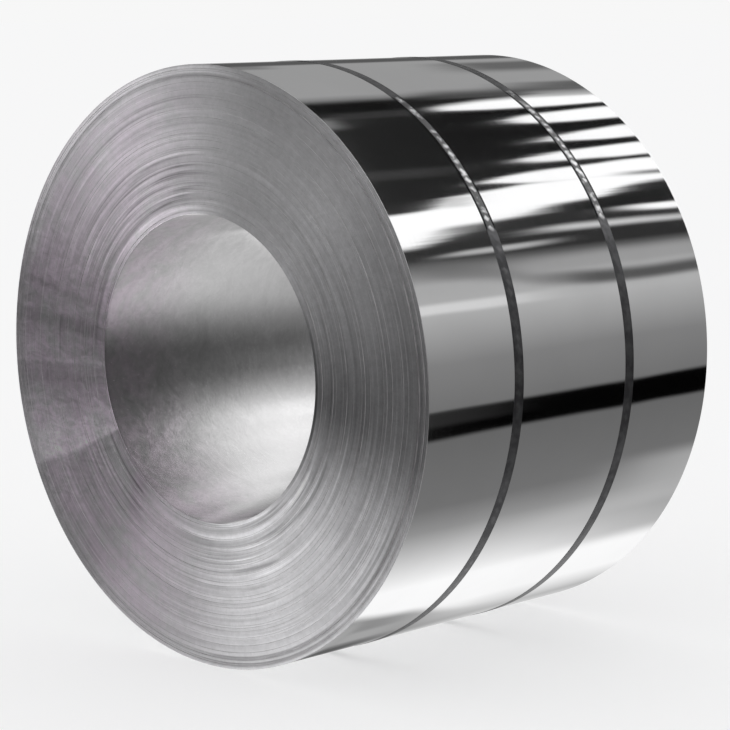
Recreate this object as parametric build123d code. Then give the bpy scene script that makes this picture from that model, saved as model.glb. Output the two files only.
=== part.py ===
from build123d import *
import os

# Steel strip coil lying on its round side, held by two flat steel straps.
# Millimetres. The coil's axis runs along Y, its front end faces -Y, +Z is up,
# and Z = 0 is the level floor under the straps. X = Y = 0 is the middle of the coil.

# ---- driving dimensions ----
strip_width = 835.0        # width of the rolled strip, so the coil's length along Y
bore_d = 610.0             # bore left by the winding mandrel
coil_od = 1188.0           # outside of the last turn

strap_width = 25.4         # flat steel strap
strap_thick = 1.0
strap_front_from_end = 250.0   # front end to the middle of the first strap
strap_back_from_end = 594.5    # front end to the middle of the second strap
# The straps don't sit quite square: how far each is shifted towards the back end
# at the coil's right side (+X) and at its top (+Z).
strap_front_lean = (0.0, 10.4)
strap_back_lean = (-14.0, 2.0)

# The turns don't line up on the ends: they lie in bands, each a little set back
# from the end plane. (outer radius of the band, set-back of the band)
front_bands = [
    (312.0, 1.4),
    (324.0, 0.5),
    (339.0, 1.2),
    (353.0, 0.4),
    (368.0, 0.9),
    (389.0, 0.3),
    (401.0, 1.1),
    (437.0, 0.0),
    (463.0, 0.7),
    (493.0, 0.0),
    (511.0, 0.8),
    (535.0, 0.3),
    (560.0, 0.9),
    (572.5, 0.4),
    (575.0, 3.4),
    (585.0, 2.2),
    (586.5, 3.2),
    (coil_od / 2, 2.0),
]
back_bands = [
    (318.0, 0.8),
    (331.0, 1.6),
    (350.0, 0.5),
    (372.0, 1.2),
    (396.0, 0.4),
    (431.0, 0.0),
    (448.0, 0.9),
    (482.0, 0.0),
    (505.0, 1.0),
    (529.0, 0.4),
    (556.0, 1.3),
    (578.0, 0.6),
    (coil_od / 2, 1.5),
]

# ---- derived ----
half = strip_width / 2
r_bore = bore_d / 2
r_coil = coil_od / 2
r_strap = r_coil + strap_thick
axis_z = r_strap           # the straps touch the floor

# ---- coil: one turned solid with its bore ----
profile = []
r = r_bore
for r_out, setback in front_bands:
    profile.append((r, -half + setback))
    profile.append((r_out, -half + setback))
    r = r_out
back = []
r = r_bore
for r_out, setback in back_bands:
    back.append((r, half - setback))
    back.append((r_out, half - setback))
    r = r_out
profile += list(reversed(back))

coil_face = make_face(Polyline(*profile, close=True))
coil = revolve(coil_face, axis=Axis.Y, revolution_arc=360)
coil = Pos(0, 0, axis_z) * coil


# ---- straps: flat bands drawn tight round the coil ----
def strap(from_front_end, lean):
    y = -half + from_front_end
    band = make_face(Polyline((r_coil, y - 60), (r_strap, y - 60), (r_strap, y + 60), (r_coil, y + 60), close=True))
    ring = revolve(band, axis=Axis.Y, revolution_arc=360)
    # the flat slab that the strap lies in, square to the lean
    across = Vector(-lean[0] / r_coil, 1, -lean[1] / r_coil)
    slab = extrude(Plane(origin=(0, y, 0), z_dir=across) * Circle(2 * r_coil), strap_width / 2, both=True)
    return Pos(0, 0, axis_z) * (ring & slab)


nodes = {
    "coil": coil,
    "strap_front": strap(strap_front_from_end, strap_front_lean),
    "strap_back": strap(strap_back_from_end, strap_back_lean),
}

os.makedirs("parts", exist_ok=True)
for name, shape in nodes.items():
    shape.label = name
    export_step(shape, "parts/" + name + ".step")
    box = shape.bounding_box()
    print(name, "volume mm3", round(shape.volume), "size", box.size, "min", box.min, "max", box.max)
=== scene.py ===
import math
import random

import bpy
from mathutils import Matrix, Vector


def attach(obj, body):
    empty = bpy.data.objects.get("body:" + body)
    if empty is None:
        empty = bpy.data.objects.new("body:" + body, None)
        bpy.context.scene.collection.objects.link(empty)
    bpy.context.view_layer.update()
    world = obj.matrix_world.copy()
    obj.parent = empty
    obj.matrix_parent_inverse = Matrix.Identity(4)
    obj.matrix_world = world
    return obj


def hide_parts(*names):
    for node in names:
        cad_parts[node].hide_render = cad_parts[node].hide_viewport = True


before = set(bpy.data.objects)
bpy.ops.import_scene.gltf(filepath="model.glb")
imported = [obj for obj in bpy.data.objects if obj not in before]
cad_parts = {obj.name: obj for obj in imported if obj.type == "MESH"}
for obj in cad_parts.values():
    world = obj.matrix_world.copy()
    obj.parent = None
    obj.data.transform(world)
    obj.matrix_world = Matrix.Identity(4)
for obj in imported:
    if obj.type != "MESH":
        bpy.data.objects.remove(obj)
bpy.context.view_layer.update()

# ------------------------------------------------------------------ sizes (metres)
HALF = 0.4175              # half the strip's width
R_BORE = 0.305
R_COIL = 0.594
R_STRAP = 0.595
AXIS_Z = 0.595             # height of the coil's axis above the floor
STRAP_W = 0.0254
MM = 0.001


def lin(v):
    """0..255 display grey to linear light."""
    v = v / 255.0
    return v / 12.92 if v <= 0.04045 else ((v + 0.055) / 1.055) ** 2.4


# ------------------------------------------------------------------ camera
scene = bpy.context.scene
right = Vector((0.71778, 0.69627, 0.0))
down = Vector((0.10369, -0.10690, -0.98885))
ahead = Vector((-0.68851, 0.70977, -0.14893))
near_centre = Vector((0.0, -HALF, AXIS_Z))
place = near_centre - R_COIL * (-0.527 * right + 0.0154 * down + 8.4421 * ahead)
cam_data = bpy.data.cameras.new("camera")
cam = bpy.data.objects.new("camera", cam_data)
scene.collection.objects.link(cam)
up = -down
m = Matrix((
    (right.x, up.x, -ahead.x, place.x),
    (right.y, up.y, -ahead.y, place.y),
    (right.z, up.z, -ahead.z, place.z),
    (0, 0, 0, 1),
))
cam.matrix_world = m
cam_data.sensor_width = 36.0
cam_data.lens = 2563.9 / 730.0 * 36.0
cam_data.clip_start = 0.05
cam_data.clip_end = 500.0
scene.camera = cam

scene.view_settings.view_transform = "Standard"
scene.view_settings.look = "None"
scene.view_settings.exposure = 0.0
scene.view_settings.gamma = 1.0


# ------------------------------------------------------------------ node helpers
class Tree:
    """Small helper that adds and wires nodes."""

    def __init__(self, nt):
        self.nt = nt
        nt.nodes.clear()
        self.x = 0

    def new(self, kind, **props):
        n = self.nt.nodes.new(kind)
        self.x += 40
        n.location = (self.x, 0)
        for k, v in props.items():
            setattr(n, k, v)
        return n

    def put(self, socket, value):
        if isinstance(value, bpy.types.NodeSocket):
            self.nt.links.new(value, socket)
        elif value is not None:
            socket.default_value = value

    def math(self, op, a, b=None, c=None, clamp=False):
        n = self.new("ShaderNodeMath", operation=op, use_clamp=clamp)
        self.put(n.inputs[0], a)
        self.put(n.inputs[1], b)
        if c is not None:
            self.put(n.inputs[2], c)
        return n.outputs[0]

    def step(self, value, lo, hi, a=0.0, b=1.0, kind="SMOOTHSTEP"):
        n = self.new("ShaderNodeMapRange", interpolation_type=kind)
        n.clamp = True
        self.put(n.inputs["Value"], value)
        n.inputs["From Min"].default_value = lo
        n.inputs["From Max"].default_value = hi
        n.inputs["To Min"].default_value = a
        n.inputs["To Max"].default_value = b
        return n.outputs["Result"]

    def mix(self, fac, a, b):
        """float mix"""
        n = self.new("ShaderNodeMix", data_type="FLOAT")
        self.put(n.inputs[0], fac)
        self.put(n.inputs[2], a)
        self.put(n.inputs[3], b)
        return n.outputs[0]

    def mixc(self, fac, a, b, blend="MIX"):
        n = self.new("ShaderNodeMix", data_type="RGBA", blend_type=blend)
        self.put(n.inputs[0], fac)
        self.put(n.inputs[6], a)
        self.put(n.inputs[7], b)
        return n.outputs[2]

    def noise(self, vector, scale, detail=2.0, rough=0.5, dist=0.0, w=None, dims="3D"):
        n = self.new("ShaderNodeTexNoise", noise_dimensions=dims)
        if dims != "1D":
            self.put(n.inputs["Vector"], vector)
        if w is not None:
            self.put(n.inputs["W"], w)
        n.inputs["Scale"].default_value = scale
        n.inputs["Detail"].default_value = detail
        n.inputs["Roughness"].default_value = rough
        n.inputs["Distortion"].default_value = dist
        return n.outputs[0]

    def xyz(self, x, y, z):
        n = self.new("ShaderNodeCombineXYZ")
        for s, v in zip(n.inputs, (x, y, z)):
            self.put(s, v)
        return n.outputs[0]

    def bump(self, height, strength, distance, normal=None):
        n = self.new("ShaderNodeBump")
        n.inputs["Strength"].default_value = strength
        n.inputs["Distance"].default_value = distance
        self.put(n.inputs["Height"], height)
        self.put(n.inputs["Normal"], normal)
        return n.outputs[0]

    def ramp(self, fac, stops):
        n = self.new("ShaderNodeValToRGB")
        r = n.color_ramp
        while len(r.elements) > 1:
            r.elements.remove(r.elements[-1])
        r.elements[0].position = stops[0][0]
        r.elements[0].color = stops[0][1]
        for p, c in stops[1:]:
            e = r.elements.new(p)
            e.color = c
        self.put(n.inputs[0], fac)
        return n.outputs[0]


# ------------------------------------------------------------------ studio: what polished steel sees
# Directions are given by psi, the angle round the coil's axis in degrees (0 to the right, 90 up), and by
# along, which runs from 0 to 1.4 over what the outer turn shows from the camera, front end to back end.
# Windows, lamps and flags are hung one over the other, each with its lower and upper edge.
world = bpy.data.worlds.new("studio")
scene.world = world
world.use_nodes = True
world.cycles.sampling_method = "NONE"
W = Tree(world.node_tree)
coord = W.new("ShaderNodeTexCoord")
sep = W.new("ShaderNodeSeparateXYZ")
W.put(sep.inputs[0], coord.outputs["Generated"])
dx, dy, dz = sep.outputs
DEG = 180.0 / math.pi
psi = W.math("MULTIPLY", W.math("ARCTAN2", dz, dx), DEG)
beta = W.math("MULTIPLY", W.math("ARCSINE", dy), DEG)
side = W.math("ABSOLUTE", beta)
tilt = W.math("SUBTRACT", psi, 8.0)
along = W.math("DIVIDE", W.math("ADD", W.math("SUBTRACT", side, 46.6), W.math("MULTIPLY", W.math("MULTIPLY", tilt, tilt), 0.000172)), 4.5)
fray = W.math("SUBTRACT", W.noise(None, 1.0, 3.0, 0.6, w=W.math("MULTIPLY", psi, 1.1), dims="1D"), 0.5)
frayed = W.math("ADD", along, W.math("MULTIPLY", fray, W.math("MULTIPLY", W.step(psi, 36.0, 44.0), 0.14)))
along01 = W.math("DIVIDE", W.math("ADD", frayed, 1.6), 3.6, clamp=True)
MIRROR = 0.91              # share of light that the polished wrap sends back


def edge_of(points):
    """psi of a card's edge as a smooth line through (along, psi) points; a plain number is a level edge."""
    if isinstance(points, (int, float)):
        return float(points)
    n = W.new("ShaderNodeFloatCurve")
    cm = n.mapping
    cm.extend = "HORIZONTAL"
    c = cm.curves[0]
    pts = [((x + 1.6) / 3.6, (y + 180.0) / 360.0) for x, y in points]
    c.points[0].location = pts[0]
    c.points[1].location = pts[-1]
    for p in pts[1:-1]:
        c.points.new(*p)
    cm.update()
    W.put(n.inputs["Value"], along01)
    return W.math("MULTIPLY_ADD", n.outputs[0], 360.0, -180.0)


def hang(base, level, lo, hi, soft_lo=1.6, soft_hi=1.6, start=None, stop=None, share=1.0, angle=None, run=None):
    """Hang a lit card or a dark flag over base, between its lower and upper edge. start and stop are
    (along, softness) of its ends. level is the display grey that the outer turn would show of it."""
    ang = psi if angle is None else angle
    rn = frayed if run is None else run
    m = W.math("MULTIPLY", W.step(W.math("SUBTRACT", ang, edge_of(lo)), -soft_lo / 2, soft_lo / 2),
               W.step(W.math("SUBTRACT", ang, edge_of(hi)), -soft_hi / 2, soft_hi / 2, 1.0, 0.0))
    if start:
        m = W.math("MULTIPLY", m, W.step(rn, start[0] - start[1] / 2, start[0] + start[1] / 2))
    if stop:
        m = W.math("MULTIPLY", m, W.step(rn, stop[0] - stop[1] / 2, stop[0] + stop[1] / 2, 1.0, 0.0))
    if share != 1.0:
        m = W.math("MULTIPLY", m, share)
    return W.mix(m, base, lin(level) / MIRROR if level < 256 else level / 1000.0)


def slope(points, ang=None):
    """Light that changes smoothly with the angle between the given (angle, display grey) points."""
    v = lin(points[0][1]) / MIRROR
    for (p0, _), (p1, g1) in zip(points, points[1:]):
        v = W.mix(W.step(psi if ang is None else ang, p0, p1, kind="LINEAR"), v, lin(g1) / MIRROR)
    return v


# the wall round the studio, from the floor behind, under and up to the ceiling
e = slope([(-180, 150), (-165, 215), (-141, 180), (-120, 244), (-98, 248), (-68, 143), (-57, 111), (-29, 100), (0, 125), (20, 172), (31, 165),
           (41, 46), (118, 34), (126, 150), (162, 148), (180, 140)])
# low down
e = hang(e, 120, -150, [(0.0, -113.5), (0.15, -116), (0.33, -119), (0.52, -126), (0.7, -131), (1.4, -136)], 12, 7, stop=(0.55, 0.9), share=0.9)
e = hang(e, 170, -137.0, -126.5, 5.0, 5.0, start=(0.03, 0.08), stop=(0.32, 0.3), share=0.7)
e = hang(e, 84, -153.5, -141.0, 2.5, 8.0, stop=(0.34, 0.4), share=0.9)
e = hang(e, 150, -97.0, -77.0, 10.0, 10.0, start=(0.9, 1.2), share=0.75)
e = hang(e, 176, -74, -54, 10, 8, start=(1.1, 0.8), share=0.75)
e = hang(e, 3, -28.8, -17.9, 2.2, 2.0)
e = hang(e, 42, -23.6, -17.6, 2.6, 1.4, stop=(0.35, 0.6), share=0.8)
# at eye height
e = hang(e, 216, 19.9, 23.7, 2.0, 2.2, stop=(0.55, 0.5), share=0.8)
e = hang(e, 100, [(0.1, 33.4), (0.24, 32.2), (0.36, 30.8), (0.52, 28.6), (0.6, 26.8), (0.76, 25.2), (0.9, 24.2), (1.07, 23.4), (1.4, 23.6)],
         [(0.1, 40.0), (0.24, 38.6), (0.36, 36.6), (0.52, 33.6), (0.6, 31.6), (0.76, 30.2), (0.9, 29.2), (1.07, 28.4), (1.4, 28.6)], 4.0, 4.4, start=(0.06, 0.3), share=0.62)
e = hang(e, 70, [(0.6, 26.2), (0.76, 25.0), (0.9, 24.0), (1.07, 23.4), (1.4, 23.6)], [(0.6, 29.6), (0.76, 29.6), (0.9, 29.0), (1.07, 28.0), (1.4, 28.2)],
         3.2, 3.6, start=(0.74, 0.36), share=0.86)
e = hang(e, 152, [(0.6, 32.4), (0.9, 31.0), (1.4, 30.6)], 36.8, 3.4, 5.0, start=(0.6, 0.35), share=0.9)
e = hang(e, 176, [(0.1, 41.0), (0.24, 41.1), (0.36, 41.2), (0.52, 41.5), (0.68, 42.0), (0.9, 42.6)], [(0.1, 41.8), (0.24, 42.5), (0.36, 43.1), (0.52, 43.6), (0.68, 43.8), (0.9, 43.8)],
         1.8, 1.6, start=(0.2, 0.3), stop=(0.72, 0.26))
e = hang(e, 196, 47.0, [(0.45, 47.8), (0.6, 48.6), (0.76, 49.2), (1.1, 49.3), (1.4, 49.0)], 2.4, 2.6, start=(0.68, 0.32))
e = hang(e, 253, [(1.0, 53.6), (1.15, 53.0), (1.25, 52.5), (1.4, 52.0)], [(1.0, 55.2), (1.15, 55.9), (1.25, 56.4), (1.4, 57.4)], 1.8, 1.8, start=(1.15, 0.28))
# tall dark flag in front of the window
e = hang(e, 31, 55.0, [(-1.0, 118), (0.0, 121.0), (0.45, 121.4), (0.8, 123.0), (1.4, 123.0)], 1.5, 4.0)
e = hang(e, 20, 84.0, 108.0, 6.0, 6.0, start=(0.45, 0.3), share=0.7)
e = hang(e, 19, 114.0, 119.4, 2.6, 2.2, stop=(0.42, 0.2))
e = hang(e, 50, 109.4, 113.4, 1.8, 2.0, start=(0.06, 0.06), stop=(0.46, 0.14))
e = hang(e, 124, 103.8, 110.0, 4.0, 4.0, stop=(0.05, 0.14))
e = hang(e, 54, 76.2, 80.4, 3.0, 2.6, stop=(0.45, 0.5))
e = hang(e, 84, 119.5, 126.0, 2.0, 5.0, start=(0.6, 0.3), share=0.7)
# the window under it, fading at its lower edge, with the blind's slats reaching in from the far side
e = hang(e, 122, [(0.1, 46.6), (0.2, 47.6), (0.31, 49.3), (0.36, 50.0), (0.45, 51.6), (0.52, 53.0)], 56.0, 2.4, 1.6, stop=(0.46, 0.1))
e = hang(e, 205, [(0.0, 45.6), (0.1, 46.3), (0.17, 47.5), (0.24, 48.8), (0.31, 50.4), (0.36, 51.7)], 58.0, 2.6, 1.6, stop=(0.28, 0.16), share=0.92)
e = hang(e, 158, [(0.5, 54.0), (0.68, 54.6), (0.84, 55.4)], 60.0, 1.6, 1.6, start=(0.6, 0.12), stop=(0.77, 0.16))
e = hang(e, 150, [(1.0, 59.6), (1.15, 61.2), (1.3, 62.6)], 66.0, 1.8, 1.6, start=(1.04, 0.1), stop=(1.21, 0.12))
e = hang(e, 254, [(0.0, 46.4), (0.1, 47.6), (0.17, 51.0), (0.24, 52.9), (0.36, 53.5), (0.52, 54.0), (0.6, 54.7), (0.68, 56.1), (0.76, 57.9), (0.84, 58.8), (0.9, 59.2),
                  (1.07, 60.8), (1.15, 63.3), (1.23, 64.7), (1.31, 65.3), (1.4, 66.1)],
         [(0.0, 60.5), (0.1, 60.9), (0.17, 61.3), (0.24, 62.2), (0.31, 64.8), (0.36, 65.8), (0.45, 66.6), (0.52, 67.2), (0.6, 67.6), (0.7, 68.6), (0.8, 69.2), (1.4, 69.6)], 2.2, 1.6)
e = hang(e, 205, 61.4, [(0.1, 64.4), (0.2, 65.0), (0.3, 65.9), (0.36, 66.3)], 2.0, 1.6, start=(0.25, 0.22), stop=(0.45, 0.1))
e = hang(e, 254, [(0.40, 71.6), (0.5, 71.0), (0.6, 70.4), (0.68, 69.9), (0.8, 69.4), (1.4, 70.2)],
         [(0.40, 70.8), (0.5, 71.3), (0.6, 72.4), (0.7, 73.6), (0.85, 74.8), (0.9, 75.1), (1.1, 75.8), (1.23, 76.5), (1.4, 77.0)], 1.0, 1.6, start=(0.49, 0.14))
e = hang(e, 95, 68.8, 70.9, 1.6, 1.4, start=(1.24, 0.3), share=0.75)
e = hang(e, 253, [(0.68, 80.8), (0.76, 80.1), (0.85, 79.4), (0.9, 79.0), (1.1, 78.8), (1.23, 78.6), (1.4, 79.1)],
         [(0.68, 80.4), (0.75, 80.7), (0.85, 81.8), (0.95, 83.1), (1.1, 84.1), (1.23, 84.9), (1.4, 85.7)], 1.6, 1.6, start=(0.775, 0.18))
e = hang(e, 252, [(0.82, 90.6), (0.9, 89.7), (1.0, 89.0), (1.2, 88.9), (1.4, 89.2)], [(0.82, 90.2), (0.9, 90.5), (1.07, 92.8), (1.2, 94.6), (1.4, 96.7)],
         1.6, 2.0, start=(0.94, 0.18))
e = hang(e, 252, [(0.78, 102.6), (0.84, 101.7), (0.95, 100.8), (1.1, 100.6), (1.23, 100.8), (1.4, 101.4)],
         [(0.78, 102.6), (0.84, 103.4), (0.9, 104.5), (1.0, 106.0), (1.1, 106.9), (1.2, 107.5), (1.4, 108.9)], 1.8, 2.0, start=(0.85, 0.14))
e = hang(e, 253, [(0.5, 113.0), (0.55, 112.5), (0.65, 111.3), (0.8, 110.6), (0.95, 110.9), (1.1, 111.1), (1.25, 111.4), (1.4, 112.1)],
         [(0.5, 112.8), (0.55, 113.3), (0.6, 114.0), (0.65, 114.7), (0.75, 115.9), (0.85, 117.0), (0.95, 117.6), (1.1, 118.6), (1.23, 119.4), (1.4, 119.4)], 1.8, 4.0, start=(0.57, 0.16))
e = hang(e, 160, 117.6, 122.4, 2.0, 3.0, start=(1.13, 0.2), share=0.75)
e = hang(e, 15, [(0.5, 107.4), (0.8, 107.2), (1.1, 108.4), (1.4, 110.0)], [(0.5, 109.0), (0.8, 108.9), (1.1, 109.8), (1.4, 111.0)], 1.2, 1.2, start=(0.6, 0.2), stop=(1.25, 0.2), share=0.85)
# overhead
e = hang(e, 80, 124.6, 130.2, 3.0, 3.0, start=(1.15, 0.6), share=0.85)
e = hang(e, 86, 143.5, 156.5, 8.0, 6.0, start=(1.02, 0.4), share=0.85)
e = hang(e, 112, 157.0, 166.0, 4.0, 4.0, start=(0.03, 0.05), stop=(0.24, 0.16), share=0.85)
e = hang(e, 84, 163.6, 175.0, 4.0, 3.0, start=(0.03, 0.05))
e = hang(e, 160, -179.0, -116.0, 1.0, 14.0, stop=(0.03, 0.06))
# past the sides of what the outer turn shows: a strong lamp over the far end, a flag beside the near end
e = hang(e, 3400, 50.0, 128.0, 16.0, 16.0, start=(1.95, 0.5))
# and what the bore's wall sees, nearer the middle: pale wall, dark flag at eye height, window that fades to the left
b = lin(152) / MIRROR
b = hang(b, 195, [(-1.6, -36), (-1.5, -42), (-0.5, -107), (-0.3, -121)], -43.0, 30.0, 60.0, share=0.95)
b = hang(b, 166, -125.0, -43.0, 20.0, 20.0, start=(-0.55, 0.4), share=0.7)
b = hang(b, 70, [(-1.6, -36.5), (-1.5, -34.8), (-0.5, -16.5), (-0.3, -13)], [(-1.6, 175), (-1.5, 172), (-0.5, 143), (-0.3, 137)], 53.0, 35.0)
b = hang(b, 89, 59.0, 130.0, 82.0, 34.0)
b = hang(b, 111, 3.0, 33.0, 30.0, 24.0, start=(-0.93, 0.66))
b = hang(b, 1150, [(-1.6, 31.7), (-1.5, 32.3), (-0.5, 38.2), (-0.3, 39.4)], 76.0, 46.0, 58.0, start=(-1.02, 0.65))
b = hang(b, 1320, 63.0, 148.0, 20.0, 49.0, start=(-0.70, 1.0))
b = hang(b, 112, 122.0, 180.0, 50.0, 20.0, stop=(-0.38, 0.06), share=0.75)
back = W.mix(W.step(along, -0.42, -0.06), b, e)

# in front: dark at eye height, bright floor, soft sky with a lamp to the left
az = W.math("MULTIPLY", W.math("ARCTAN2", dy, dx), DEG)
el = W.math("MULTIPLY", W.math("ARCSINE", dz), DEG)
f = W.mix(W.step(el, -3.0, 20.0), 0.14, 0.46)
f = W.mix(W.step(el, 24.0, 46.0), f, 0.84)
f = W.mix(W.math("MULTIPLY", W.step(az, -118.0, -140.0), W.step(el, 22.0, 34.0)), f, 0.12)
f = W.mix(W.math("MULTIPLY", W.step(az, -44.0, -20.0), W.step(el, -6.0, 14.0)), f, 1.4)
f = W.mix(W.math("MULTIPLY", W.step(az, -140.0, -158.0), W.math("MULTIPLY", W.step(el, -8.0, 12.0), W.step(el, 26.0, 40.0, 1.0, 0.0))), f, 1.65)
floor_light = W.mix(W.step(az, -100.0, -135.0), 1.2, 2.9)
floor_edge = W.step(az, -92.0, -135.0, -27.0, -17.0)
f = W.mix(W.step(W.math("SUBTRACT", floor_edge, el), 0.0, 24.0), f, floor_light)
front = W.math("MULTIPLY", f, 1.22)

env = W.mix(W.step(beta, -12.0, 22.0), front, back)

light_path = W.new("ShaderNodeLightPath")
plain = 0.93
grey = W.mix(light_path.outputs["Is Glossy Ray"], plain, env)
bg = W.new("ShaderNodeBackground")
rgb = W.new("ShaderNodeCombineColor")
for s in rgb.inputs:
    W.put(s, grey)
W.put(bg.inputs["Color"], rgb.outputs[0])
bg.inputs["Strength"].default_value = 1.0
out = W.new("ShaderNodeOutputWorld")
W.put(out.inputs["Surface"], bg.outputs[0])


# ------------------------------------------------------------------ floor
def floor():
    mesh = bpy.data.meshes.new("floor")
    s = 60.0
    mesh.from_pydata([(-s, -s, 0), (s, -s, 0), (s, s, 0), (-s, s, 0)], [], [(0, 1, 2, 3)])
    o = bpy.data.objects.new("floor", mesh)
    scene.collection.objects.link(o)
    mat = bpy.data.materials.new("floor_pale")
    mat.use_nodes = True
    t = Tree(mat.node_tree)
    d = t.new("ShaderNodeBsdfDiffuse")
    d.inputs["Color"].default_value = (0.985, 0.985, 0.99, 1)
    lit = t.new("ShaderNodeEmission")
    lit.inputs["Color"].default_value = (0.94, 0.94, 0.943, 1)
    both = t.new("ShaderNodeMixShader")
    both.inputs[0].default_value = 0.55
    t.put(both.inputs[1], d.outputs[0])
    t.put(both.inputs[2], lit.outputs[0])
    t.put(t.new("ShaderNodeOutputMaterial").inputs["Surface"], both.outputs[0])
    mat.cycles.emission_sampling = "NONE"
    mesh.materials.append(mat)
    o.visible_glossy = False
    return o


floor()


# ------------------------------------------------------------------ coil geometry
FRONT_BANDS = [(312.0, 1.4), (324.0, 0.5), (339.0, 1.2), (353.0, 0.4), (368.0, 0.9), (389.0, 0.3), (401.0, 1.1), (437.0, 0.0), (463.0, 0.7),
               (493.0, 0.0), (511.0, 0.8), (535.0, 0.3), (560.0, 0.9), (572.5, 0.4), (575.0, 3.4), (585.0, 2.2), (586.5, 3.2), (594.0, 2.0)]
BACK_BANDS = [(318.0, 0.8), (331.0, 1.6), (350.0, 0.5), (372.0, 1.2), (396.0, 0.4), (431.0, 0.0), (448.0, 0.9), (482.0, 0.0), (505.0, 1.0),
              (529.0, 0.4), (556.0, 1.3), (578.0, 0.6), (594.0, 1.5)]


def end_profile(bands, seed):
    """Points (radius, set-back) in millimetres across one end, from the bore to the outside: bundles of turns
    that stand unevenly, with a hair-thin gap between some of them."""
    rng = random.Random(seed)
    pts = []
    r = R_BORE / MM
    for r_out, setback in bands:
        while r < r_out - 0.05:
            w = rng.uniform(6.0, 15.0)
            if r + w > r_out - 2.5:
                w = r_out - r
            lean = rng.gauss(0.0, 0.014) * w
            base = max(0.0, setback + rng.gauss(0.0, 0.10))
            a = max(0.0, base + lean / 2)
            b = max(0.0, base - lean / 2)
            gap = rng.choice([0.15, 0.25, 0.4, 0.6])
            pts.append((r + 0.26, a + 0.04, False))
            if w > 2.5:
                pts.append((r + w * 0.5, max(0.0, (a + b) / 2 - 0.03), False))
            pts.append((r + w - 0.34, b + 0.04, True))       # from here into the gap and out again
            pts.append((r + w - 0.02, max(a, b) + gap, True))
            r += w
    pts[-1] = (R_COIL / MM - 0.02, pts[-2][1] + 0.35, False)
    return pts


def coil_mesh():
    front_pts = [(r * MM, -HALF + s * MM, g) for r, s, g in end_profile(FRONT_BANDS, 11)]
    back_pts = [(r * MM, HALF - s * MM, g) for r, s, g in end_profile(BACK_BANDS, 23)]
    END_F, OUTER, END_B, BORE, GAP = 1, 0, 1, 2, 3
    prof = []   # (r, y, material of the face that follows)
    y0 = front_pts[0][1]
    prof.append((R_BORE, y0 + 0.4 * MM, END_F))
    for r, y, g in front_pts:
        prof.append((r, y, GAP if g else END_F))
    yf = front_pts[-1][1]
    prof.append((R_COIL, yf + 0.3 * MM, OUTER))
    yb = back_pts[-1][1]
    prof.append((R_COIL, yf + 0.9 * MM, OUTER))
    for k in range(1, 8):
        prof.append((R_COIL, yf * (1 - k / 8.0) + yb * k / 8.0, OUTER))
    prof.append((R_COIL, yb - 0.9 * MM, OUTER))
    prof.append((R_COIL, yb - 0.3 * MM, END_B))
    turned = list(reversed(back_pts))
    for k, (r, y, g) in enumerate(turned):
        prof.append((r, y, GAP if k + 1 < len(turned) and turned[k + 1][2] else END_B))
    prof.append((R_BORE, back_pts[0][1] - 0.4 * MM, BORE))
    prof.append((R_BORE, back_pts[0][1] - 0.9 * MM, BORE))
    for k in range(1, 8):
        prof.append((R_BORE, (back_pts[0][1]) * (1 - k / 8.0) + y0 * k / 8.0, BORE))
    prof.append((R_BORE, y0 + 0.9 * MM, BORE))
    n = 256
    rings = len(prof)
    verts, faces, mats = [], [], []
    for r, y, _ in prof:
        for j in range(n):
            a = 2 * math.pi * j / n
            rr = r
            if R_BORE + 0.001 < r < R_COIL - 0.004:      # the turns are a touch out of true
                t = (r - R_BORE) / (R_COIL - R_BORE)
                edge = min(1.0, min(t, 1 - t) * 12)
                rr += edge * MM * (0.7 * math.sin(a + 2.0 + 3 * t) + 0.35 * math.sin(2 * a + 5 * t))
            verts.append((rr * math.cos(a), y, AXIS_Z + rr * math.sin(a)))
    for i in range(rings):
        k = (i + 1) % rings
        for j in range(n):
            j2 = (j + 1) % n
            faces.append((i * n + j, i * n + j2, k * n + j2, k * n + j))
            mats.append(prof[i][2])
    mesh = bpy.data.meshes.new("coil_wound")
    mesh.from_pydata(verts, [], faces)
    mesh.update()
    # outward normals: flip if the outer wall points in
    for p in mesh.polygons:
        if mats[p.index] == OUTER:
            c = p.center
            if p.normal.dot(Vector((c.x, 0, c.z - AXIS_Z))) < 0:
                mesh.flip_normals()
            break
    mesh.polygons.foreach_set("material_index", mats)
    mesh.polygons.foreach_set("use_smooth", [True] * len(mats))
    mesh.set_sharp_from_angle(angle=math.radians(9))
    o = bpy.data.objects.new("coil_wound", mesh)
    scene.collection.objects.link(o)
    return o


def radial(t):
    """Object-space helpers: centred x and z, radius from the axis in millimetres, unit direction, y."""
    tc = t.new("ShaderNodeTexCoord")
    s = t.new("ShaderNodeSeparateXYZ")
    t.put(s.inputs[0], tc.outputs["Object"])
    x, y, z = s.outputs
    zc = t.math("SUBTRACT", z, AXIS_Z)
    r = t.math("SQRT", t.math("ADD", t.math("MULTIPLY", x, x), t.math("MULTIPLY", zc, zc)))
    nx = t.math("DIVIDE", x, r)
    nz = t.math("DIVIDE", zc, r)
    return tc.outputs["Object"], x, y, zc, t.math("MULTIPLY", r, 1000.0), nx, nz


def steel(name):
    mat = bpy.data.materials.new(name)
    mat.use_nodes = True
    t = Tree(mat.node_tree)
    p = t.new("ShaderNodeBsdfPrincipled")
    p.inputs["Metallic"].default_value = 1.0
    o = t.new("ShaderNodeOutputMaterial")
    t.put(o.inputs["Surface"], p.outputs[0])
    return mat, t, p


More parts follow.
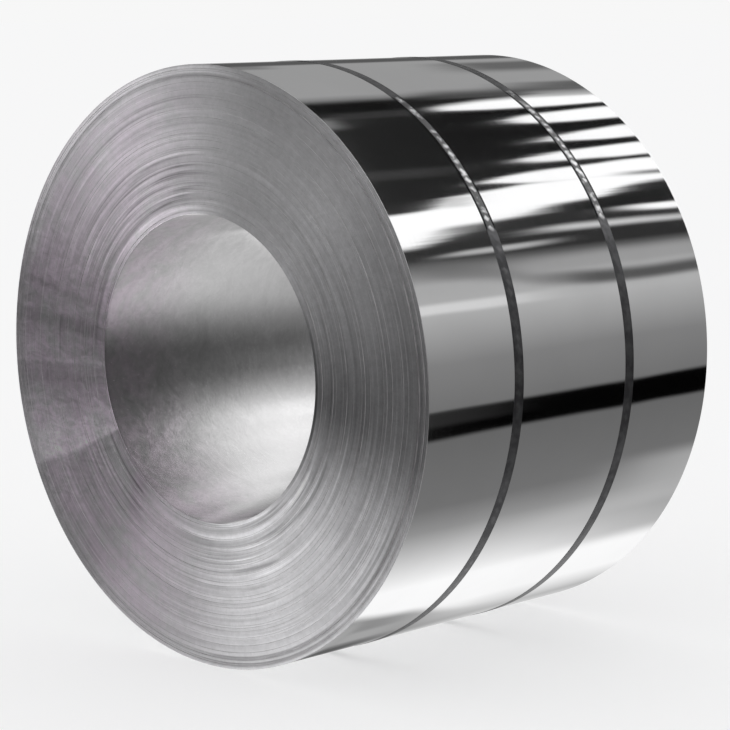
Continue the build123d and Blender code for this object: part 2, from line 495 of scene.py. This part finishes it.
def outer_material():
    mat, t, p = steel("polished_wrap")
    obj, x, y, zc, r, nx, nz = radial(t)
    # roll marks run round the strip, so they are long along the turn and narrow across it
    fine = t.noise(t.xyz(t.math("MULTIPLY", nx, 2.0), t.math("MULTIPLY", y, 160.0), t.math("MULTIPLY", nz, 2.0)), 1.0, 3.0, 0.6)
    cloud = t.noise(obj, 5.0, 3.0, 0.55)
    col = t.mixc(t.step(cloud, 0.35, 0.7), (0.93, 0.93, 0.935, 1), (0.90, 0.90, 0.905, 1))
    t.put(p.inputs["Base Color"], col)
    rough = t.math("ADD", t.math("MULTIPLY", fine, 0.03), t.math("MULTIPLY", cloud, 0.03))
    t.put(p.inputs["Roughness"], t.math("ADD", rough, 0.015))
    wave = t.noise(t.xyz(t.math("MULTIPLY", nx, 3.0), t.math("MULTIPLY", y, 2.5), t.math("MULTIPLY", nz, 3.0)), 1.0, 1.0, 0.4)
    t.put(p.inputs["Normal"], t.bump(wave, 0.25, 0.004))
    return mat


def end_material():
    """Slit edges of the turns: soft rings, clearer in some places than in others, their contrast partly painted glint,
    a mottled grain, a faint mauve tarnish on the left, a rubbed patch, painted reflection in lighter and darker sectors
    and streaks, and painted shade and highlight on the grooves near the rim and the turns next to the bore."""
    mat, t, p = steel("turn_edges")
    obj, x, y, zc, r, nx, nz = radial(t)

    def band(freq, around, detail=2.0, rough=0.55, off=0.0):
        v = t.xyz(t.math("ADD", t.math("MULTIPLY", r, freq), off), t.math("MULTIPLY", nx, around), t.math("MULTIPLY", nz, around))
        return t.noise(v, 1.0, detail, rough)

    def toward(phi, wide, full):
        """1 in the sector round the angle phi, fading out from full to wide degrees away."""
        a = math.radians(phi)
        d = t.math("ADD", t.math("MULTIPLY", nx, math.cos(a)), t.math("MULTIPLY", nz, math.sin(a)))
        return t.step(d, math.cos(math.radians(wide)), math.cos(math.radians(full)))

    def ring(lo, hi, soft):
        return t.math("MULTIPLY", t.step(r, lo - soft, lo + soft), t.step(r, hi - soft, hi + soft, 1.0, 0.0))

    turn = t.math("ADD", t.math("DIVIDE", t.math("ARCTAN2", t.math("MULTIPLY", nz, -1.0), t.math("MULTIPLY", nx, -1.0)), 2 * math.pi), 0.5)
    # rings: soft, clearer in some places than in others, and each fades in and out along its way round; their contrast
    # is partly painted glint of the turns' edges
    wide_rings = band(0.072, 0.6, 2.0, 0.6, 3.0)
    close_rings = band(0.165, 1.2, 2.0, 0.55, 17.0)
    hair = band(0.62, 1.9, 2.0, 0.6, 41.0)
    thin = t.step(t.math("ABSOLUTE", t.math("SUBTRACT", band(0.10, 0.9, 1.0, 0.5, 57.0), 0.5)), 0.0, 0.15, 1.0, 0.0)
    rings = t.math("ADD", t.math("MULTIPLY", t.math("SUBTRACT", wide_rings, 0.5), 1.15), t.math("MULTIPLY", t.math("SUBTRACT", close_rings, 0.5), 1.2))
    rings = t.math("ADD", rings, t.math("MULTIPLY", t.math("SUBTRACT", hair, 0.5), 0.22))
    rings = t.math("SUBTRACT", rings, t.math("MULTIPLY", t.math("SUBTRACT", thin, 0.3), 0.15))
    arcs = t.step(band(0.06, 2.3, 1.0, 0.5, 91.0), 0.34, 0.62, 0.45, 1.35)
    front_end = t.step(y, 0.05, -0.05)
    rubbed = t.math("MULTIPLY", toward(188, 25, 15), front_end)              # the turns are smeared smooth here
    upper = toward(122, 44, 20)
    lower = toward(298, 48, 16)
    inner = t.step(r, 390.0, 450.0, 1.0, 0.0)
    rimward = t.step(r, 500.0, 560.0)
    # painted glints: the rings show strongest in the sectors above and below, where the turns' edges catch the light,
    # faintly elsewhere and least in the rubbed patch
    clear = t.math("ADD", 0.26, t.math("MULTIPLY", upper, t.mix(inner, 0.46, 0.95)))
    clear = t.math("ADD", clear, t.math("MULTIPLY", lower, t.mix(inner, t.mix(rimward, 0.16, 0.05), 0.92)))
    clear = t.math("ADD", clear, t.math("MULTIPLY", toward(334, 22, 10), t.mix(inner, t.mix(rimward, 0.40, 0.70), 0.10)))
    clear = t.math("ADD", clear, t.math("MULTIPLY", toward(218, 24, 12), t.mix(inner, 0.30, 1.10)))
    clear = t.math("ADD", clear, t.math("MULTIPLY", toward(22, 60, 40), t.mix(inner, 0.04, 0.34)))
    clear = t.math("MULTIPLY", clear, t.mix(toward(72, 30, 14), 1.0, 0.55))
    clear = t.math("MULTIPLY", t.math("MULTIPLY", clear, arcs), t.mix(rubbed, 1.0, 0.16))
    tone = t.math("ADD", 1.0, t.math("MULTIPLY", rings, clear))
    # mottled grain and clouds
    grain = t.noise(obj, 210.0, 3.0, 0.7)
    mott = t.noise(obj, 62.0, 3.0, 0.6)
    cloud = t.noise(obj, 9.0, 4.0, 0.6, 0.6)
    blot = t.noise(t.xyz(t.math("MULTIPLY", x, 22.0), y, t.math("MULTIPLY", zc, 46.0)), 1.0, 4.0, 0.62, 1.2)
    left = t.math("MULTIPLY", toward(184, 44, 26), front_end)
    tone = t.math("MULTIPLY", tone, t.math("ADD", 1.0, t.math("MULTIPLY", t.math("SUBTRACT", grain, 0.5), t.mix(toward(25, 60, 36), 0.26, 0.36))))
    tone = t.math("MULTIPLY", tone, t.math("ADD", 1.0, t.math("MULTIPLY", t.math("SUBTRACT", mott, 0.5), t.mix(left, t.mix(toward(25, 60, 36), 0.26, 0.34), 0.50))))
    tone = t.math("MULTIPLY", tone, t.math("ADD", 1.0, t.math("MULTIPLY", t.math("SUBTRACT", cloud, 0.5), 0.20)))
    tone = t.math("MULTIPLY", tone, t.math("ADD", 1.0, t.math("MULTIPLY", t.math("MULTIPLY", t.math("SUBTRACT", blot, 0.5), 1.0), left)))
    # painted reflection: the end lighter and darker by sectors round the axis, the share of light that the turns' edges
    # would mirror there, with a sharp step near 206 degrees; the sectors slant a little with the radius
    slant = t.math("MULTIPLY", t.step(r, 330.0, 590.0, 1.0, 0.0, kind="LINEAR"), -0.0095)
    wobble = t.math("ADD", t.math("ADD", turn, slant), t.math("MULTIPLY", t.math("SUBTRACT", cloud, 0.5), 0.010))
    sector = t.ramp(wobble, [(d / 360.0, (v / 2, v / 2, v / 2, 1)) for d, v in (
        (0, 0.77), (42, 1.18), (66, 0.91), (96, 0.83), (122, 0.93), (146, 1.11), (172, 0.98), (181, 1.27), (187, 1.03), (205.6, 1.60),
        (206.6, 0.97), (230, 0.86), (242, 1.16), (262, 0.97), (304, 1.0), (320, 1.31), (334, 1.38), (350, 0.75))])
    sep3 = t.new("ShaderNodeSeparateColor")
    t.put(sep3.inputs[0], sector)
    tone = t.math("MULTIPLY", tone, t.mix(front_end, 1.15, t.math("MULTIPLY", sep3.outputs[0], 2.0)))

    def painted_streak(x0, z0, x1, z1, half, soft):
        """1 along a painted reflection streak between two points of the end (metres from the axis)."""
        length = math.hypot(x1 - x0, z1 - z0)
        ux, uz = (x1 - x0) / length, (z1 - z0) / length
        s_ = t.math("ADD", t.math("MULTIPLY", t.math("SUBTRACT", x, x0), ux), t.math("MULTIPLY", t.math("SUBTRACT", zc, z0), uz))
        d_ = t.math("SUBTRACT", t.math("MULTIPLY", t.math("SUBTRACT", zc, z0), ux), t.math("MULTIPLY", t.math("SUBTRACT", x, x0), uz))
        d_ = t.math("ADD", d_, t.math("MULTIPLY", t.math("SUBTRACT", mott, 0.5), soft * 0.9))
        m_ = t.step(t.math("ABSOLUTE", d_), half, half + soft, 1.0, 0.0)
        m_ = t.math("MULTIPLY", m_, front_end)
        return t.math("MULTIPLY", m_, t.math("MULTIPLY", t.step(s_, -0.03, 0.03), t.step(s_, length - 0.04, length + 0.03, 1.0, 0.0)))

    # painted reflection: dark and light radial streaks on the left of the front end, where its turns mirror the studio
    for x0, z0, x1, z1, half, soft, amount in ((-0.560, 0.142, -0.330, 0.098, 0.001, 0.011, -0.17), (-0.590, 0.066, -0.310, 0.043, 0.006, 0.014, -0.21),
                                               (-0.590, -0.037, -0.300, -0.019, 0.001, 0.006, 0.13), (-0.590, -0.060, -0.300, -0.044, 0.014, 0.012, -0.12),
                                               (-0.520, -0.210, -0.330, -0.130, 0.004, 0.030, 0.10)):
        tone = t.math("MULTIPLY", tone, t.math("ADD", 1.0, t.math("MULTIPLY", painted_streak(x0, z0, x1, z1, half, soft), amount)))
    tone = t.math("MULTIPLY", tone, t.math("SUBTRACT", 1.0, t.math("MULTIPLY", t.math("MULTIPLY", ring(444.0, 449.0, 1.5), t.math("MULTIPLY", toward(178, 6.5, 3.5), front_end)), 0.22)))
    # darker towards the rim on the right, and next to the bore below that
    tone = t.math("MULTIPLY", tone, t.math("SUBTRACT", 1.0, t.math("MULTIPLY", t.math("MULTIPLY", t.step(r, 430.0, 590.0), toward(38, 56, 26)), 0.13)))
    tone = t.math("MULTIPLY", tone, t.math("SUBTRACT", 1.0, t.math("MULTIPLY", t.math("MULTIPLY", t.step(r, 540.0, 360.0), toward(346, 20, 5)), 0.17)))
    # grooves near the rim: painted shade at the bottom right and faintly all round, and a painted highlight on the rim
    # at the upper left, as the recessed outer turns tilt away from or towards the light
    rim_painted_shade = t.math("ADD", ring(568.0, 577.0, 2.0), ring(581.0, 589.5, 2.0))
    tone = t.math("MULTIPLY", tone, t.math("SUBTRACT", 1.0, t.math("MULTIPLY", t.math("MULTIPLY", rim_painted_shade, t.math("ADD", toward(287, 24, 8), t.math("MULTIPLY", toward(320, 22, 12), 0.45))), 0.36)))
    tone = t.math("MULTIPLY", tone, t.math("SUBTRACT", 1.0, t.math("MULTIPLY", ring(569.0, 577.0, 3.0), 0.11)))
    tone = t.math("MULTIPLY", tone, t.math("ADD", 1.0, t.math("MULTIPLY", t.math("MULTIPLY", ring(578.0, 591.0, 2.0), toward(122, 44, 26)), 0.40)))
    # painted highlight and painted shade on the turns next to the bore: dark at the bore's edge on the right, and
    # bright and dark turns side by side at the upper left and at the bottom
    tone = t.math("MULTIPLY", tone, t.math("SUBTRACT", 1.0, t.math("MULTIPLY", t.math("MULTIPLY", ring(303.0, 312.0, 1.5), toward(-12, 52, 22)), 0.42)))
    tone = t.math("MULTIPLY", tone, t.math("ADD", 1.0, t.math("MULTIPLY", t.math("MULTIPLY", ring(306.0, 326.0, 2.5), toward(128, 50, 24)), 0.22)))
    tone = t.math("MULTIPLY", tone, t.math("SUBTRACT", 1.0, t.math("MULTIPLY", t.math("MULTIPLY", ring(329.0, 336.0, 2.0), toward(134, 50, 24)), 0.26)))
    tone = t.math("MULTIPLY", tone, t.math("ADD", 1.0, t.math("MULTIPLY", t.math("MULTIPLY", ring(328.0, 341.0, 3.0), toward(290, 50, 24)), 0.22)))
    tone = t.math("MULTIPLY", tone, t.math("SUBTRACT", 1.0, t.math("MULTIPLY", t.math("MULTIPLY", ring(343.0, 352.0, 2.5), toward(296, 50, 24)), 0.20)))
    bloom = t.noise(obj, 6.5, 3.0, 0.6, 0.8)
    tarnish = t.math("MULTIPLY", t.step(nx, 0.16, -0.62), t.step(t.math("ADD", t.math("MULTIPLY", bloom, 0.7), t.math("MULTIPLY", mott, 0.3)), 0.30, 0.56))
    tarnish = t.math("MULTIPLY", tarnish, t.step(r, 545.0, 580.0, 1.0, 0.35))
    tarnish = t.math("MULTIPLY", tarnish, t.mix(toward(128, 34, 14), 1.0, 0.7))
    tint = t.mixc(tarnish, (0.557, 0.552, 0.566, 1), (0.592, 0.518, 0.592, 1))
    scale = t.new("ShaderNodeCombineColor")
    for sk in scale.inputs:
        t.put(sk, tone)
    t.put(p.inputs["Base Color"], t.mixc(1.0, tint, scale.outputs[0], "MULTIPLY"))
    t.put(p.inputs["Roughness"], t.math("ADD", t.math("MULTIPLY", mott, 0.10), 0.37))
    p.inputs["Anisotropic"].default_value = 0.85
    p.inputs["Anisotropic Rotation"].default_value = 0.25
    tan = t.new("ShaderNodeTangent", direction_type="RADIAL", axis="Y")
    t.put(p.inputs["Tangent"], tan.outputs[0])
    h = t.math("ADD", t.math("MULTIPLY", close_rings, 0.5), t.math("MULTIPLY", hair, 0.3))
    h = t.math("ADD", h, t.math("MULTIPLY", grain, 0.12))
    t.put(p.inputs["Normal"], t.bump(h, 0.2, 0.0012))
    return mat


def gap_material():
    """Inside of the hair-thin gaps and steps between the turns: darker, as painted shade in the gaps, with old oil in
    it.
    """
    mat, t, p = steel("turn_gap")
    obj, x, y, zc, r, nx, nz = radial(t)
    gap_mottle = t.noise(t.xyz(t.math("MULTIPLY", nx, 9.0), t.math("MULTIPLY", r, 0.05), t.math("MULTIPLY", nz, 9.0)), 1.0, 3.0, 0.6)
    # smeared shut on the left of the front end
    a = math.radians(188)
    shut = t.math("ADD", t.math("MULTIPLY", nx, math.cos(a)), t.math("MULTIPLY", nz, math.sin(a)))
    shut = t.math("MULTIPLY", t.step(shut, math.cos(math.radians(26)), math.cos(math.radians(16))), t.step(y, 0.05, -0.05))
    # painted shade: the gap walls get a dark colour where they would lie in shade between the turns
    dark = t.mixc(t.step(gap_mottle, 0.35, 0.65), (0.27, 0.262, 0.27, 1), (0.43, 0.42, 0.43, 1))
    t.put(p.inputs["Base Color"], t.mixc(shut, dark, (0.36, 0.345, 0.36, 1)))
    t.put(p.inputs["Roughness"], t.math("ADD", t.math("MULTIPLY", gap_mottle, 0.2), 0.5))
    t.put(p.inputs["Normal"], t.bump(gap_mottle, 0.3, 0.0008))
    return mat


def bore_material():
    """The first turn's inside: bright, with a cloudy haze, fine scuffs that run round it, and a faint mauve tarnish."""
    mat, t, p = steel("bore_wall")
    obj, x, y, zc, r, nx, nz = radial(t)
    haze = t.noise(obj, 11.0, 6.0, 0.68, 0.8)
    mott = t.noise(obj, 55.0, 4.0, 0.65, 0.5)
    scuff = t.noise(t.xyz(t.math("MULTIPLY", nx, 7.0), t.math("MULTIPLY", y, 34.0), t.math("MULTIPLY", nz, 9.0)), 1.0, 4.0, 0.6, 0.9)
    grain = t.noise(obj, 260.0, 2.0, 0.6)
    tone = t.math("ADD", 1.0, t.math("MULTIPLY", t.math("SUBTRACT", haze, 0.5), t.step(y, -0.34, -0.10, 0.72, 0.42)))
    tone = t.math("MULTIPLY", tone, t.math("ADD", 1.0, t.math("MULTIPLY", t.math("SUBTRACT", mott, 0.5), t.step(y, -0.34, -0.10, 0.46, 0.24))))
    tone = t.math("MULTIPLY", tone, t.math("ADD", 1.0, t.math("MULTIPLY", t.math("SUBTRACT", scuff, 0.5), 0.04)))
    tone = t.math("MULTIPLY", tone, t.math("ADD", 1.0, t.math("MULTIPLY", t.math("SUBTRACT", grain, 0.5), 0.10)))
    # the last turns at the two edges of the opening are darker
    edge = t.step(t.math("ABSOLUTE", y), HALF - 0.010, HALF - 0.001, 1.0, 0.80)
    tone = t.math("MULTIPLY", tone, edge)
    tarnish = t.math("MULTIPLY", t.step(y, -0.14, -0.42), t.step(haze, 0.32, 0.60))
    tint = t.mixc(tarnish, (0.895, 0.89, 0.895, 1), (0.90, 0.805, 0.89, 1))
    scale = t.new("ShaderNodeCombineColor")
    for sk in scale.inputs:
        t.put(sk, tone)
    t.put(p.inputs["Base Color"], t.mixc(1.0, tint, scale.outputs[0], "MULTIPLY"))
    t.put(p.inputs["Roughness"], t.math("ADD", t.math("MULTIPLY", haze, 0.07), t.math("ADD", t.math("MULTIPLY", mott, 0.04), 0.045)))
    bumps = t.math("ADD", t.math("MULTIPLY", haze, 0.6), t.math("MULTIPLY", mott, 0.25))
    t.put(p.inputs["Normal"], t.bump(bumps, 0.075, 0.0016))
    return mat


coil = coil_mesh()
for mt in (outer_material(), end_material(), bore_material(), gap_material()):
    coil.data.materials.append(mt)
coil.visible_glossy = False     # the bore is lit straight from the studio
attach(coil, "root")
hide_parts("coil")


# ------------------------------------------------------------------ straps
STRAPS = (("strap_front", -0.1675, 0.0, 0.0104, 5), ("strap_back", 0.177, -0.014, 0.002, 9))   # middle, lean to the right, lean to the top, seed


def strap_mesh(name, y_mid, lean_x, lean_z, seed):
    """Flat strap drawn tight round the coil, a little out of square, embossed with slanting lozenges that are worn unevenly."""
    n = 1760
    cols = 15
    w = STRAP_W
    pitch_n = 10                      # segments for each lozenge
    rng = random.Random(seed)
    count = n // pitch_n
    worn = [rng.uniform(0.25, 1.0) for _ in range(count)]
    wide = [rng.uniform(0.70, 1.12) for _ in range(count)]
    long = [rng.uniform(0.75, 1.25) for _ in range(count)]
    aside = [rng.gauss(0.0, 0.09) for _ in range(count)]
    verts, faces = [], []
    prof_w = [-w / 2 + w * i / (cols - 1) for i in range(cols)]
    section = cols + 2
    for j in range(n):
        a = 2 * math.pi * j / n
        ca, sa = math.cos(a), math.sin(a)
        middle = y_mid + lean_x * ca + lean_z * sa
        ring = [(R_COIL, -w / 2)]
        for i, u in enumerate(prof_w):
            s = u / (w / 2)
            rr = R_STRAP - 0.26 * MM
            if abs(s) > 0.9:
                rr = R_STRAP - 0.29 * MM
            else:
                # slanting lozenge right across the strap
                ph = (j + s * 2.6) / pitch_n
                k = math.floor(ph) % count
                f = abs(ph - math.floor(ph) - 0.5) * 2
                d = f * 0.95 / long[k] + abs(s - aside[k]) / (0.86 * wide[k])
                if d < 1.0:
                    rr += 0.26 * MM * min(1.0, (1 - d) * 1.7) * worn[k]
            ring.append((rr, u))
        ring.append((R_COIL, w / 2))
        for rr, u in ring:
            verts.append((rr * ca, middle + u, AXIS_Z + rr * sa))
    for j in range(n):
        j2 = (j + 1) % n
        for i in range(section):
            i2 = (i + 1) % section
            faces.append((j * section + i, j2 * section + i, j2 * section + i2, j * section + i2))
    mesh = bpy.data.meshes.new(name)
    mesh.from_pydata(verts, [], faces)
    mesh.update()
    p = mesh.polygons[3]
    if p.normal.dot(Vector((p.center.x, 0, p.center.z - AXIS_Z))) < 0:
        mesh.flip_normals()
    mesh.polygons.foreach_set("use_smooth", [True] * len(mesh.polygons))
    mesh.set_sharp_from_angle(angle=math.radians(40))
    o = bpy.data.objects.new(name, mesh)
    scene.collection.objects.link(o)
    return o


def strap_material():
    """Blued strap, rubbed to bare steel on the tops of the lozenges; in one sector round the coil it has a darker
    painted ground, a paler painted middle, painted glints on the lozenges and painted shadow lines along both edges.
    """
    mat, t, p = steel("blued_strap")
    obj, x, y, zc, r, nx, nz = radial(t)
    cloud = t.noise(obj, 38.0, 4.0, 0.6)
    patch = t.noise(obj, 9.0, 3.0, 0.6)
    flat = t.xyz(x, t.math("MULTIPLY", y, 0.35), zc)
    bars = t.noise(flat, 84.0, 2.0, 0.55, 0.3)        # streaks right across the strap, for the painted glints and the bump
    runs = t.noise(flat, 17.0, 2.0, 0.5)
    fine = t.noise(obj, 240.0, 2.0, 0.6)
    # the sector round the coil where light and shade are painted on the strap
    a = math.radians(46.4)
    d = t.math("ADD", t.math("MULTIPLY", nx, math.cos(a)), t.math("MULTIPLY", nz, math.sin(a)))
    painted_light_sector = t.step(d, math.cos(math.radians(18.0)), math.cos(math.radians(15.4)))
    lozenge_tops = t.step(r, 594.74, 594.94)
    worn = t.math("MULTIPLY", lozenge_tops, t.step(patch, 0.40, 0.64))
    # distance from the middle line of whichever strap this is
    middles = []
    for _, y_mid, lean_x, lean_z, _ in STRAPS:
        middles.append(t.math("ADD", t.math("ADD", t.math("MULTIPLY", nx, lean_x), t.math("MULTIPLY", nz, lean_z)), y_mid))
    off = t.math("ABSOLUTE", t.math("SUBTRACT", y, t.mix(t.step(y, -0.02, 0.02), middles[0], middles[1])))
    edge = t.step(off, 0.0078, 0.0108)
    core = t.step(t.math("ADD", off, t.math("MULTIPLY", t.math("SUBTRACT", fine, 0.5), 0.006)), 0.0112, 0.0062)
    col = t.mixc(t.step(cloud, 0.35, 0.7), (0.100, 0.100, 0.105, 1), (0.165, 0.165, 0.17, 1))
    # painted shade: the strap's ground is darker in that sector
    col = t.mixc(t.math("MULTIPLY", painted_light_sector, 0.75), col, (0.022, 0.022, 0.023, 1))
    col = t.mixc(t.math("MULTIPLY", worn, 0.35), col, (0.30, 0.30, 0.31, 1))
    # painted light: a paler middle along the strap in that sector
    col = t.mixc(t.math("MULTIPLY", painted_light_sector, core), col, (0.12, 0.12, 0.122, 1))
    # painted glints: bright specks on the lozenge tops and in streaks across the strap, only in that sector
    painted_glints = t.math("ADD", t.math("ADD", t.math("MULTIPLY", bars, 0.56), t.math("MULTIPLY", runs, 0.10)), t.math("MULTIPLY", lozenge_tops, 0.17))
    painted_glints = t.math("ADD", painted_glints, t.math("MULTIPLY", t.math("SUBTRACT", fine, 0.5), 0.16))
    painted_glints = t.math("MULTIPLY", t.math("MULTIPLY", painted_light_sector, core), t.step(painted_glints, 0.33, 0.52))
    col = t.mixc(painted_glints, col, (0.80, 0.80, 0.81, 1))
    # painted shadow: near-black lines along both edges of the strap, strong in that sector and faint elsewhere
    col = t.mixc(t.math("MULTIPLY", edge, t.math("MULTIPLY_ADD", painted_light_sector, 0.88, 0.08)), col, (0.008, 0.008, 0.009, 1))
    t.put(p.inputs["Base Color"], col)
    rough = t.math("ADD", t.math("MULTIPLY", cloud, 0.16), 0.26)
    t.put(p.inputs["Roughness"], t.mix(painted_light_sector, rough, t.mix(core, 0.15, 0.42)))
    t.put(p.inputs["Normal"], t.bump(t.math("ADD", cloud, t.math("MULTIPLY", bars, 0.4)), 0.3, 0.0006))
    return mat


strap_mat = strap_material()
for node, y_mid, lean_x, lean_z, seed in STRAPS:
    s = strap_mesh(node + "_band", y_mid, lean_x, lean_z, seed)
    s.data.materials.append(strap_mat)
    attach(s, "root")
    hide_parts(node)
    s.visible_glossy = False    # as for the coil: else the bore would show the hidden side of a strap
